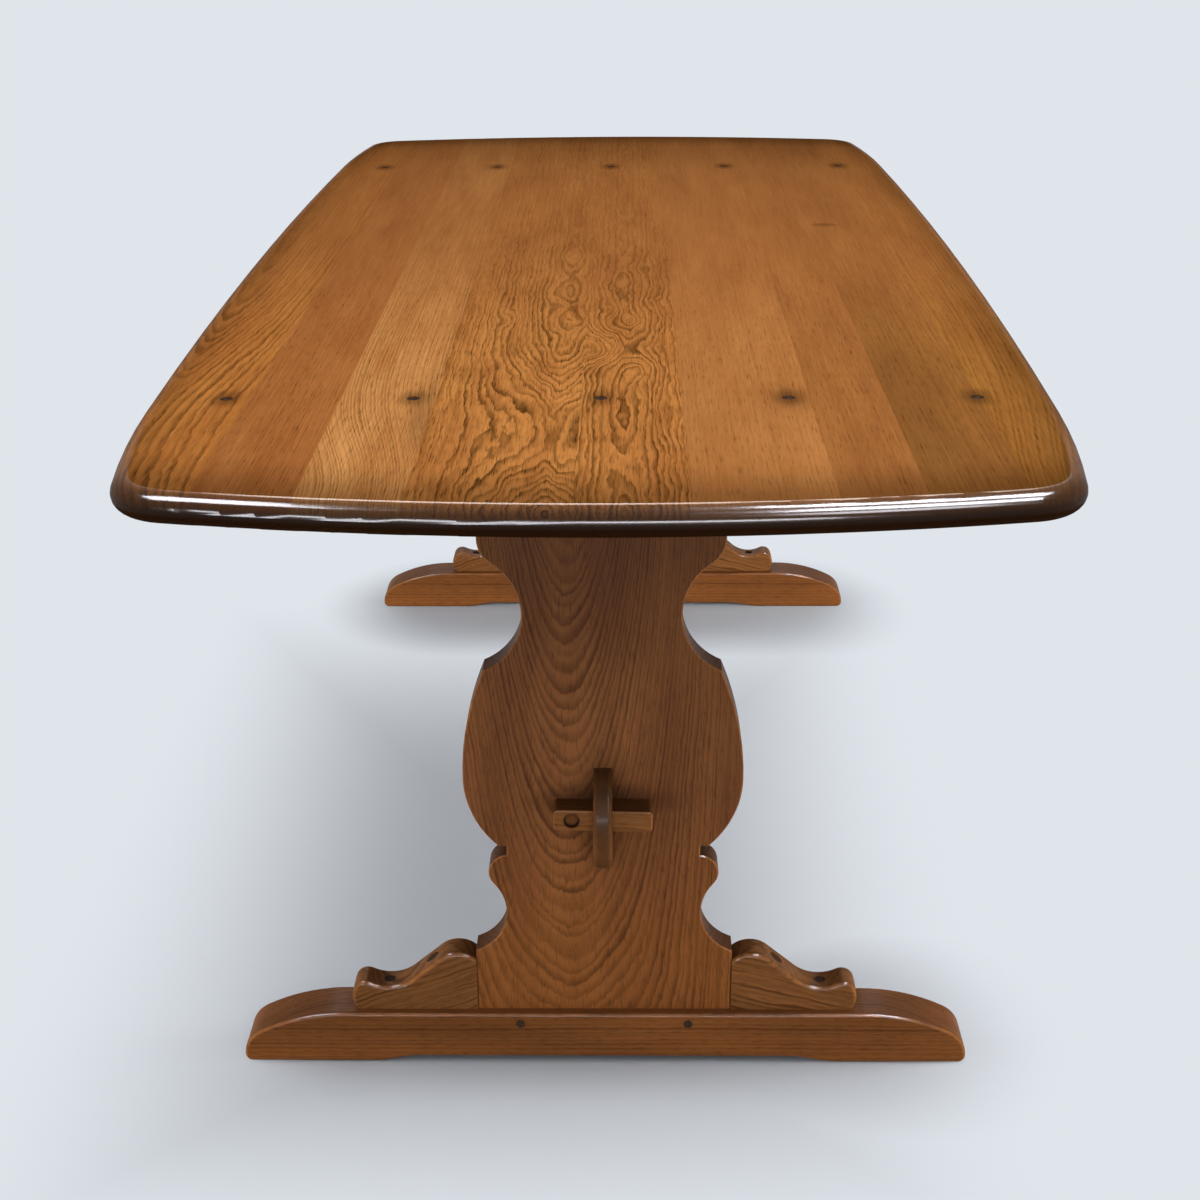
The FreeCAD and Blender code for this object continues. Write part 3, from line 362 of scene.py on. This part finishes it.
# Figure and tints of the nine boards, from the left. Lengths are millimetres, as ring_count says.
STRAIGHT_GRAIN = dict(depth=30.0, waver=0.8, waver_size=(60.0, 400.0))
BOARDS = {
    "top_board_1": dict(
        light="#cc8640", brown="#ad6832", line="#5c3512", contrast=0.75, fleck=0.3,
        figure=dict(pith=-404.0, depth=10.0, ring=5.0, waver=0.6, waver_size=(25.0, 90.0),
                    knots=[(-404.0, -700.0, 80.0, 380.0, 10.0)])),
    "top_board_2": dict(
        light="#b7753f", brown="#9f5e2e", line="#6a3b16", contrast=0.3, fleck=0.22,
        figure=dict(STRAIGHT_GRAIN, pith=-560.0, ring=3.2)),
    "top_board_3": dict(
        light="#da9c5b", brown="#b97840", line="#7c4619", contrast=0.65, fleck=0.3,
        stains=[((-158.0, -660.0, 0.0), (12.0, 110.0, math.inf), 0.3)],
        figure=dict(STRAIGHT_GRAIN, pith=-520.0, ring=3.4, knots=[(-210.0, -900.0, 130.0, 200.0, -16.0)])),
    "top_board_4": dict(
        light="#d08c48", brown="#b47038", line="#54300f", contrast=0.9, fleck=0.55, cloud=0.3,
        figure=dict(pith=-40.0, depth=6.0, ring=5.0, waver=1.3, waver_size=(18.0, 80.0),
                    knots=[(-42.0, -720.0, 60.0, 220.0, 12.0), (-48.0, -393.0, 12.0, 30.0, 1.4),
                           (-97.0, -329.0, 12.0, 30.0, 1.6), (-34.0, -800.0, 10.0, 50.0, 1.5),
                           (-45.0, -268.0, 14.0, 34.0, 1.8), (-26.0, -335.0, 10.0, 26.0, -1.3),
                           (-62.0, -200.0, 14.0, 34.0, -1.5), (-70.0, -860.0, 10.0, 50.0, -1.2),
                           (-40.0, -120.0, 16.0, 36.0, 1.5), (-45.0, -10.0, 16.0, 40.0, -1.5)])),
    "top_board_5": dict(
        light="#cb8745", brown="#b06e37", line="#54300f", contrast=0.9, fleck=0.5, cloud=0.3,
        figure=dict(pith=22.0, depth=6.0, ring=5.0, waver=1.4, waver_size=(16.0, 70.0),
                    knots=[(6.0, -445.0, 36.0, 60.0, 6.0), (12.0, -388.0, 10.0, 26.0, 1.4),
                           (30.0, -333.0, 10.0, 26.0, -1.4), (8.0, -285.0, 10.0, 24.0, 1.3),
                           (55.0, -680.0, 8.0, 60.0, 1.8), (35.0, -520.0, 14.0, 40.0, -1.8),
                           (24.0, -800.0, 14.0, 70.0, 1.8), (44.0, -240.0, 12.0, 34.0, 1.4),
                           (10.0, -170.0, 14.0, 36.0, -1.4), (34.0, -80.0, 14.0, 36.0, 1.4)])),
    "top_board_6": dict(
        light="#b87b44", brown="#a56936", line="#76441b", contrast=0.18, fleck=0.22,
        stains=[((PLUG_PITCH, -PLUG_ROW, 0.0), (30.0, 44.0, math.inf), 0.22)],
        figure=dict(STRAIGHT_GRAIN, pith=-300.0, ring=4.2)),
    "top_board_7": dict(
        light="#a76d39", brown="#925b2e", line="#683b18", contrast=0.18, fleck=0.22,
        figure=dict(STRAIGHT_GRAIN, pith=-160.0, ring=3.8)),
    "top_board_8": dict(
        light="#986531", brown="#825127", line="#593313", contrast=0.25, fleck=0.22,
        stains=[((280.0, -560.0, 0.0), (28.0, 120.0, math.inf), 0.14),
                ((285.0, -740.0, 0.0), (30.0, 90.0, math.inf), 0.18),
                ((282.0, 170.0, 0.0), (16.0, 10.0, math.inf), 0.35)],
        figure=dict(STRAIGHT_GRAIN, pith=620.0, ring=5.0)),
    "top_board_9": dict(
        light="#a56e33", brown="#895726", line="#5d3412", contrast=0.55, fleck=0.25,
        figure=dict(STRAIGHT_GRAIN, pith=900.0, ring=5.5, knots=[(400.0, -960.0, 160.0, 300.0, -10.0)])),
}
PLUG_STAIN_REACH = (13.0, 24.0, math.inf)
PLUG_STAIN_SHARE = 0.5
PLUG_STAIN_WIDTH = 20.0


def stains_round_plugs(board):
    """Stains round the plugs of both rows that reach a board."""
    left, right = (corner.x * PER_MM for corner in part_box(board))
    places = [(number - (PLUGS_IN_ROW - 1) / 2) * PLUG_PITCH for number in range(PLUGS_IN_ROW)]
    reaching = [x for x in places if left - PLUG_STAIN_WIDTH < x < right + PLUG_STAIN_WIDTH]
    rows = (-PLUG_ROW, PLUG_ROW)
    return [((x, y, 0.0), PLUG_STAIN_REACH, PLUG_STAIN_SHARE) for x in reaching for y in rows]


for board, look in BOARDS.items():
    dress(board, varnished_elm_board("varnished_elm_" + board, stains_round_plugs(board), **look))


# Patterns of the trestles in millimetres
TRESTLE_PORE = (1.3, 14.0)
TRESTLE_TONE = (40.0, 260.0)
WORN_AND_LIT_BLOTCH = 100 / 3
# Ranges of noise that spread the tone and the wear with its painted highlight, and how much the pores show
TRESTLE_TONE_SPREAD = (0.3, 0.7)
WORN_AND_LIT_SHARE = (0.35, 0.65, 0.0, 0.4)
TRESTLE_FLECK = 0.35
# Ranges in millimetres: up the slab, for painted warm light low on it, and out from the middle of a key's
# peg, for painted shade in the peg's hole
PAINTED_WARM_LIGHT_BELOW = (-240.0, 0.0)
PEG_HOLE_SHADE = (7.0, 9.5, 0.85, 0.0)
# Ranges of how far a face is turned to the table's ends, and of that times what it lacks to 1, which is
# most on a rounded edge
SIDE_FACES = (0.1, 0.6)
ROUNDED_EDGE = (0.04, 0.2)
# Shine of the varnish on flat faces, and of the stained wood under it
FLAT_GLOSS = 0.012
TRESTLE_SPECULAR = 0.02


def turned_to_ends(tree):
    """How far a face is turned to the ends of the table, from its normal: 1 on end faces, 0 on sides."""
    normal = add(tree, "TexCoord", out="Normal")
    along = add(tree, "SeparateXYZ", [normal], out=1)
    return add(tree, "Math", [along, along], operation="MULTIPLY")


def distance_from_peg(tree, place, aside):
    """How far a point of a key's face lies from the middle of its peg, in millimetres."""
    offset = add(tree, "VectorMath", [place, (aside, 0, 0)], operation="SUBTRACT")
    offset = add(tree, "VectorMath", [offset, (1, 0, 1)], operation="MULTIPLY")
    return add(tree, "VectorMath", [offset], out="Value", operation="LENGTH")


# Stained and varnished elm of the trestles: redder and darker than the top, with the same ring lines.
# The rounded edges turn orange brown in patches, partly stain rubbed through and partly painted highlight,
# and there the varnish catches the light.
def stained_elm(name, centre, turn, figure, light="#965e33", brown="#7b4a29", line="#40220f", contrast=0.6,
                worn_and_lit="#a8682c", edge_gloss=0.14, sides=0.35, painted_warm_light=0.0, peg_aside=None, spots=()):
    material, tree = new_material(name)
    place = add(tree, "VectorMath", [place_in_mm(tree), centre], operation="SUBTRACT")
    turned = {"Vector": place, "Rotation": [math.radians(angle) for angle in turn]}
    grain = add(tree, "Mapping", turned, vector_type="POINT")
    tone = grain_noise(tree, grain, TRESTLE_TONE, detail=3.0)
    tone = add(tree, "MapRange", [tone, *TRESTLE_TONE_SPREAD])
    colour = layered(tree, linear(light), (tone, linear(brown)))
    # Painted warm light, lighter and more orange towards the foot of the slab
    if painted_warm_light:
        height = add(tree, "SeparateXYZ", [place], out=2)
        warm_light_share = add(tree, "MapRange", [height, *PAINTED_WARM_LIGHT_BELOW, painted_warm_light, 0.0], **SMOOTH)
        colour = layered(tree, colour, (warm_light_share, linear("#a8642a")))

    lines = ring_lines(tree, grain, figure)
    drawn = add(tree, "Math", [lines, contrast], operation="MULTIPLY")
    pores = elm_pores(tree, grain, TRESTLE_PORE)
    flecks = add(tree, "Math", [pores, TRESTLE_FLECK], operation="MULTIPLY")
    facing = turned_to_ends(tree)
    # Faces not turned to the ends are darker: darker stain on sawn edges, and painted shade, as on the
    # key's top
    darker_sides_and_shade = add(tree, "MapRange", [facing, *SIDE_FACES, sides, 0.0])
    colour = layered(tree, colour, (drawn, linear(line)), (flecks, linear("#2b1408")),
                     (darker_sides_and_shade, linear("#1d0f06")))
    # Painted shade in the recess round the key's peg
    if peg_aside is not None:
        from_peg = distance_from_peg(tree, place, peg_aside)
        shade = add(tree, "MapRange", [from_peg, *PEG_HOLE_SHADE], **SMOOTH)
        colour = layered(tree, colour, (shade, linear("#1d0f06")))
    # On the trestles the spots are painted shade: under the top, round the key and on the tongues
    colour = stained_and_shaded(tree, place, colour, spots)

    aside = add(tree, "Math", [1.0, facing], operation="SUBTRACT")
    rounded = add(tree, "Math", [facing, aside], operation="MULTIPLY")
    rounded = add(tree, "MapRange", [rounded, *ROUNDED_EDGE], **SMOOTH)
    patchy = add(tree, "TexNoise", {"Vector": place, "Scale": 1 / WORN_AND_LIT_BLOTCH, "Detail": 2.0})
    patchy = add(tree, "MapRange", [patchy, *WORN_AND_LIT_SHARE])
    # Orange brown on rounded edges, in patches: rubbed-through stain and painted highlight
    rubbed_and_lit = add(tree, "Math", [rounded, patchy], operation="MULTIPLY")
    colour = layered(tree, colour, (rubbed_and_lit, linear(worn_and_lit)))
    gloss = add(tree, "MapRange", [rounded, 0.0, 1.0, FLAT_GLOSS, edge_gloss])
    return finish_wood(material, tree, colour, lines, pores, VARNISH_ROUGHNESS, TRESTLE_SPECULAR,
                       **{"Coat Weight": gloss, "Coat Roughness": GLOSS_ROUGHNESS})


# Ways that the grain runs, in degrees
SIDEWAYS = (0.0, 0.0, 90.0)
LENGTHWISE = (0.0, 0.0, 0.0)

# Heights in millimetres about which the figure of each piece is laid out
SLAB_HEIGHT = 330.0
FOOT_HEIGHT = 30.0
BEARER_HEIGHT = 668.0
BRACKET_HEIGHT = 60.0
KEY_HEIGHT = 298.0
STRETCHER_HEIGHT = 290.0

SLAB_FIGURE = dict(pith=-34.0, depth=32.0, ring=4.2, waver=0.8, waver_size=(50.0, 120.0),
                   arches=(0.24, 95.0))
RAIL_FIGURE = dict(STRAIGHT_GRAIN, pith=-120.0, depth=120.0, ring=3.2)
BRACKET_FIGURE = dict(pith=-40.0, depth=20.0, ring=5.5, waver=1.5, waver_size=(30.0, 120.0))
FOOT_TINTS = dict(light="#945a2c", brown="#774722")
BRACKET_TINTS = dict(light="#966032", brown="#764a26", line="#2c1709")
KEY_TINTS = dict(light="#966033", brown="#7b4d25")
STRETCHER_TINTS = dict(light="#744a2a", brown="#563419", worn_and_lit="#744a2a")

# Painted shade: the top's shadow on the slab's head, shade round the key, and shade on the tongues' upper
# halves under the top. Each shade is a spot, in millimetres from where the piece's figure is laid out.
SLAB_PAINTED_SHADE = [((0.0, 0.0, 310.0), (math.inf, math.inf, 170.0), 0.38),
              ((0.0, 0.0, -22.0), (62.0, math.inf, 16.0), 0.55),
              ((0.0, 0.0, -30.0), (26.0, math.inf, 62.0), 0.4)]
TONGUE_ALONG = 660.0
TONGUE_PAINTED_SHADE = [((0.0, y, 52.0), (math.inf, 45.0, 50.0), 0.65) for y in (-TONGUE_ALONG, TONGUE_ALONG)]

for end, y, turned in (("near", -PLUG_ROW, 0.0), ("far", PLUG_ROW, 180.0)):
    dress(f"{end}_slab_end", stained_elm(
        f"stained_elm_{end}_slab", (0, y, SLAB_HEIGHT), (-90.0, turned, 0.0), SLAB_FIGURE, contrast=0.75,
        sides=0.75, painted_warm_light=0.45, spots=SLAB_PAINTED_SHADE))
    dress(f"{end}_foot", stained_elm(
        f"stained_elm_{end}_foot", (0, y, FOOT_HEIGHT), SIDEWAYS, RAIL_FIGURE, **FOOT_TINTS))
    dress(f"{end}_bearer", stained_elm(
        f"stained_elm_{end}_bearer", (0, y, BEARER_HEIGHT), SIDEWAYS, RAIL_FIGURE, sides=0.6, **FOOT_TINTS))
    dress(f"{end}_key", stained_elm(
        f"stained_elm_{end}_key", (0, y, KEY_HEIGHT), SIDEWAYS, RAIL_FIGURE, contrast=0.4, sides=0.65,
        peg_aside=middle_in_mm(f"{end}_key_peg").x, **KEY_TINTS))
    for side, tilt in (("left", 22.0), ("right", -14.0)):
        dress(f"{end}_{side}_bracket", stained_elm(
            f"stained_elm_{end}_{side}_bracket", (0, y, BRACKET_HEIGHT), (0.0, tilt, 90.0), BRACKET_FIGURE,
            contrast=0.75, sides=0.3, **BRACKET_TINTS))
dress("stretcher", stained_elm(
    "stained_elm_stretcher", (0, 0, STRETCHER_HEIGHT), LENGTHWISE, RAIL_FIGURE, contrast=0.5,
    edge_gloss=0.015, sides=0.0, spots=TONGUE_PAINTED_SHADE, **STRETCHER_TINTS))

# Flecks in millimetres, drawn wider than real pores because finer ones don't show
END_GRAIN_FLECK = 1.25
END_GRAIN_SPREAD = (0.35, 0.65)
END_GRAIN_ROUGHNESS = 0.45


# Stained end grain of the pegs and plugs: a small disc flecked with a paler, dusty tone, almost black on
# the plugs.
def end_grain(name, deep, pale):
    material, tree = new_material(name)
    flecks = {"Vector": place_in_mm(tree), "Scale": 1 / END_GRAIN_FLECK, "Detail": 3.0}
    noise = add(tree, "TexNoise", flecks)
    tone = add(tree, "MapRange", [noise, *END_GRAIN_SPREAD])
    colour = layered(tree, linear(deep), (tone, linear(pale)))
    return finish_wood(material, tree, colour, noise, noise, END_GRAIN_ROUGHNESS, specular=0.0)


# Turning marks in millimetres, and how rough they leave the steel
TURNING_MARK = 0.4
STEEL_ROUGHNESS = (0.0, 1.0, 0.25, 0.4)


# Plain steel screws, bright and faintly turned.
def turned_steel(name):
    material, tree = new_material(name)
    noise = add(tree, "TexNoise", {"Vector": place_in_mm(tree), "Scale": 1 / TURNING_MARK, "Detail": 2.0})
    colour = layered(tree, linear("#b9b9ba"), (noise, linear("#d0d0d2")))
    rough = add(tree, "MapRange", [noise, *STEEL_ROUGHNESS])
    shader = add(tree, "BsdfPrincipled", {"Base Color": colour, "Roughness": rough, "Metallic": 1.0})
    add(tree, "OutputMaterial", {"Surface": shader})
    return material


plug_wood = end_grain("stained_end_grain_plugs", "#1d1109", "#584638")
key_peg_wood = end_grain("stained_end_grain_key_peg", "#613b1e", "#7b4d2c")
steel = turned_steel("turned_steel_screws")
for end in ("near", "far"):
    dress(f"{end}_key_peg", key_peg_wood)
    for piece in ("foot_pegs", "bearer_pegs", "bracket_plugs", "top_plugs"):
        dress(f"{end}_{piece}", plug_wood)
    for piece in ("bracket_screws", "top_screws"):
        dress(f"{end}_{piece}", steel)

# Camera, at the photograph's viewing angle, with its sensor in millimetres and its reach in metres
FOCAL_PIXELS = 1879.25
IMAGE_PIXELS = 1200
SENSOR = 36.0
VIEW_REACH = 100.0
PITCH = math.radians(22.654)
YAW = math.radians(-0.886)
ROLL = math.radians(-0.386)
EYE = Vector((23.97, -2288.9, 1215.2)) * MM

camera_data = bpy.data.cameras.new("camera")
camera_data.sensor_width = SENSOR
camera_data.lens = FOCAL_PIXELS / IMAGE_PIXELS * SENSOR
camera_data.clip_end = VIEW_REACH
camera = bpy.data.objects.new("camera", camera_data)
scene.collection.objects.link(camera)
ahead = Vector((math.sin(YAW) * math.cos(PITCH), math.cos(YAW) * math.cos(PITCH), -math.sin(PITCH)))
level = Vector((math.cos(YAW), -math.sin(YAW), 0.0))
above = level.cross(ahead)
right = level * math.cos(ROLL) + above * math.sin(ROLL)
top = above * math.cos(ROLL) - level * math.sin(ROLL)
camera.matrix_world = Matrix.Translation(EYE) @ Matrix((right, top, -ahead)).transposed().to_4x4()
scene.camera = camera

# Floor and backdrop, one pale blue-grey, in metres. The floor keeps the table's soft shadow, and fades to
# the backdrop past these distances: aside from the shadow's middle, and along the table both ways. Close
# round the feet it doesn't fade.
BACKDROP = "#e0e5eb"
FLOOR_HALF = 20.0
FLOOR_DROP = 0.0002
SHADOW_MIDDLE = -0.1
SHADOW_ASIDE = (0.08, 0.56)
SHADOW_ALONG = ((-0.1, 0.65), (-0.55, -1.0))
FEET_HALF_SPAN = (0.25, 0.585, 0.0)
BESIDE_FEET = (0.0, -1.0, 0.0)
ROUND_FEET = (0.06, 0.26)
PAPER_FIBRE = 1.11 * MM


def seen_rays(tree):
    """1 for the rays that show the backdrop: the camera's own, and those in gloss and through glass."""
    rays = add(tree, "LightPath").node.outputs
    seen = add(tree, "Math", [rays["Is Camera Ray"], rays["Is Glossy Ray"]], operation="MAXIMUM")
    return add(tree, "Math", [seen, rays["Is Transmission Ray"]], operation="MAXIMUM")


def past_shadow(tree, spot):
    """How far the floor has faded to the backdrop at a spot: 0 in the table's shadow, 1 well past it."""
    x, y, _ = add(tree, "SeparateXYZ", [spot]).node.outputs
    aside = add(tree, "Math", [x, SHADOW_MIDDLE], operation="SUBTRACT")
    aside = add(tree, "Math", [aside], operation="ABSOLUTE")
    faded = add(tree, "MapRange", [aside, *SHADOW_ASIDE], **SMOOTH)
    for limits in SHADOW_ALONG:
        along = add(tree, "MapRange", [y, *limits], **SMOOTH)
        faded = add(tree, "Math", [faded, along], operation="MAXIMUM")
    # Beside a foot counts past its ends, and on both of its long sides
    from_middle = add(tree, "VectorMath", [spot], operation="ABSOLUTE")
    beside = add(tree, "VectorMath", [from_middle, FEET_HALF_SPAN], operation="SUBTRACT")
    beside = add(tree, "VectorMath", [beside, BESIDE_FEET], operation="MAXIMUM")
    beside = add(tree, "VectorMath", [beside], out="Value", operation="LENGTH")
    clear = add(tree, "MapRange", [beside, *ROUND_FEET], **SMOOTH)
    return add(tree, "Math", [faded, clear], operation="MINIMUM")


# Pale matt paper: a faint fibre, and a clean backdrop past the shadow.
def pale_paper(name):
    material, tree = new_material(name)
    spot = add(tree, "TexCoord", out="Object")
    shown = add(tree, "Math", [past_shadow(tree, spot), seen_rays(tree)], operation="MULTIPLY")
    fibre = add(tree, "TexNoise", {"Vector": spot, "Scale": 1 / PAPER_FIBRE, "Detail": 2.0})
    tone = layered(tree, linear("#c9ced4"), (fibre, linear("#c5cad0")))
    matt = add(tree, "BsdfDiffuse", {"Color": tone})
    glow = add(tree, "Emission", {"Color": linear(BACKDROP), "Strength": 1.0})
    surface = add(tree, "MixShader", [shown, matt, glow])
    add(tree, "OutputMaterial", {"Surface": surface})
    return material


floor_mesh = bpy.data.meshes.new("floor")
corners = [(-FLOOR_HALF, -FLOOR_HALF), (FLOOR_HALF, -FLOOR_HALF), (FLOOR_HALF, FLOOR_HALF),
           (-FLOOR_HALF, FLOOR_HALF)]
floor_mesh.from_pydata([(x, y, -FLOOR_DROP) for x, y in corners], [], [(0, 1, 2, 3)])
floor_mesh.materials.append(pale_paper("pale_paper_floor"))
floor = bpy.data.objects.new("floor", floor_mesh)
scene.collection.objects.link(floor)

FILL_STRENGTH = 0.55

world = bpy.data.worlds.new("studio")
scene.world = world
world.use_nodes = True
studio = world.node_tree
studio.nodes.clear()
fill = add(studio, "Background", {"Color": linear("#f2f4f8"), "Strength": FILL_STRENGTH})
backdrop = add(studio, "Background", {"Color": linear(BACKDROP), "Strength": 1.0})
surround = add(studio, "MixShader", [seen_rays(studio), fill, backdrop])
add(studio, "OutputWorld", {"Surface": surround})


def lamp(name, place, target, size, watts, colour="#ffffff", gloss=False):
    """An area lamp facing target, in metres. A gloss lamp shows in reflections alone, others never."""
    data = bpy.data.lights.new(name, "AREA")
    data.shape = "RECTANGLE"
    data.size, data.size_y = size
    data.energy = watts
    data.color = linear(colour)[:3]
    made = bpy.data.objects.new(name, data)
    made.visible_diffuse = not gloss
    made.visible_glossy = gloss
    facing = Vector(target) - Vector(place)
    made.matrix_world = Matrix.Translation(place) @ facing.to_track_quat("-Z", "Y").to_matrix().to_4x4()
    scene.collection.objects.link(made)


lamp("softbox", place=(0.7, -0.75, 2.3), target=(0.3, -0.6, 0.7), size=(1.2, 1.2), watts=22.0)
lamp("low_front_light", place=(0.2, -3.2, 0.4), target=(0.0, -0.7, 0.35), size=(1.6, 0.5), watts=11.0)
lamp("left_floor_light", place=(-2.4, -0.5, 0.6), target=(0.0, 0.6, 0.1), size=(0.8, 0.5), watts=42.0)
lamp("right_floor_light", place=(2.4, -0.5, 0.6), target=(0.0, 0.6, 0.1), size=(0.8, 0.5), watts=46.0)

# Windows and skylights round the table, which the gloss of the rim and of the rounded edges shows
TABLE_END = (0.0, -0.9, 0.7)
SKYLIGHT_HEIGHT = 3.2
SKY = "#eef3ff"
lamp("front_window", place=(-0.55, -4.5, 0.85), target=(-0.55, -0.9, 0.7), size=(3.8, 0.6), watts=500.0,
     colour="#f2f5ff", gloss=True)
lamp("right_window", place=(1.4, -3.4, 2.5), target=TABLE_END, size=(1.0, 0.7), watts=160.0,
     colour=SKY, gloss=True)
lamp("far_window", place=(0.0, 4.0, 3.9), target=TABLE_END, size=(3.4, 2.4), watts=560.0,
     colour="#fff0e6", gloss=True)
for name, x, y, size, watts in (("left_skylight", -1.7, -1.5, (1.2, 1.3), 560.0),
                                ("right_skylight_1", 1.15, -0.75, (1.3, 1.0), 700.0),
                                ("right_skylight_2", 1.4, -2.35, (1.3, 1.1), 720.0)):
    lamp(name, place=(x, y, SKYLIGHT_HEIGHT), target=(x, y, 0.0), size=size, watts=watts,
         colour=SKY, gloss=True)

scene.view_settings.view_transform = "Standard"
